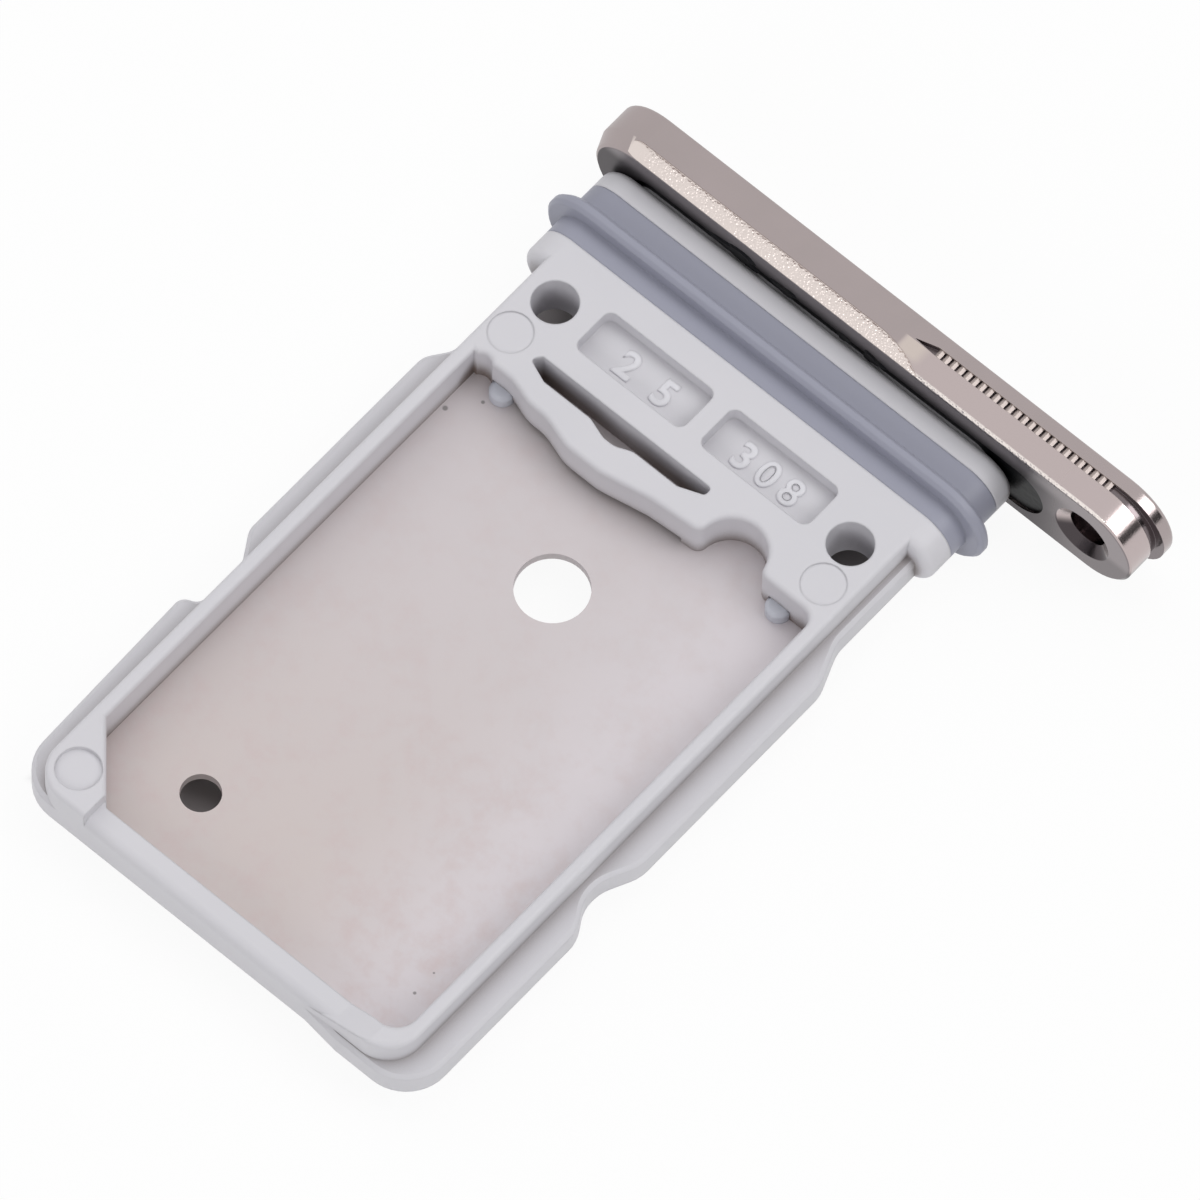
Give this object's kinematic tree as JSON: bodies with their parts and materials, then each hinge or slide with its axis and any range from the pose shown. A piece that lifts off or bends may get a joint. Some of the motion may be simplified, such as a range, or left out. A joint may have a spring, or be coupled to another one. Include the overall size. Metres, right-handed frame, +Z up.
{
  "type": "sim card tray",
  "caption": "Sim card tray with a card pocket over a steel floor plate, side guide rails, a silicone seal and an aluminium door with an ejector pin hole.",
  "frame": {"origin": "middle of the card pocket, on the steel plate's top face", "axes": "+X across the tray to the ejector pin's end of the door, +Y along the tray out of the phone through the door, +Z up to the card's side"},
  "size_m": [0.0147, 0.0195, 0.0027],
  "materials": {
    "door_aluminium": "satin champagne grey anodised, milled",
    "frame_plastic": "light cool grey moulded polycarbonate",
    "plate_steel": "fine matt stainless sheet, faintly stained",
    "seal_silicone": "blue grey silicone, soft sheen",
    "grip_silicone": "blue grey silicone, soft sheen",
    "black_glue": "black cured glue"
  },
  "bodies": {
    "root": {"end_cap": "door_aluminium", "tray_frame": "frame_plastic", "card_plate": "plate_steel", "seal_ring": "seal_silicone", "card_grip_left": "grip_silicone", "card_grip_right": "grip_silicone", "cap_adhesive": "black_glue"}
  },
  "joints": []
}
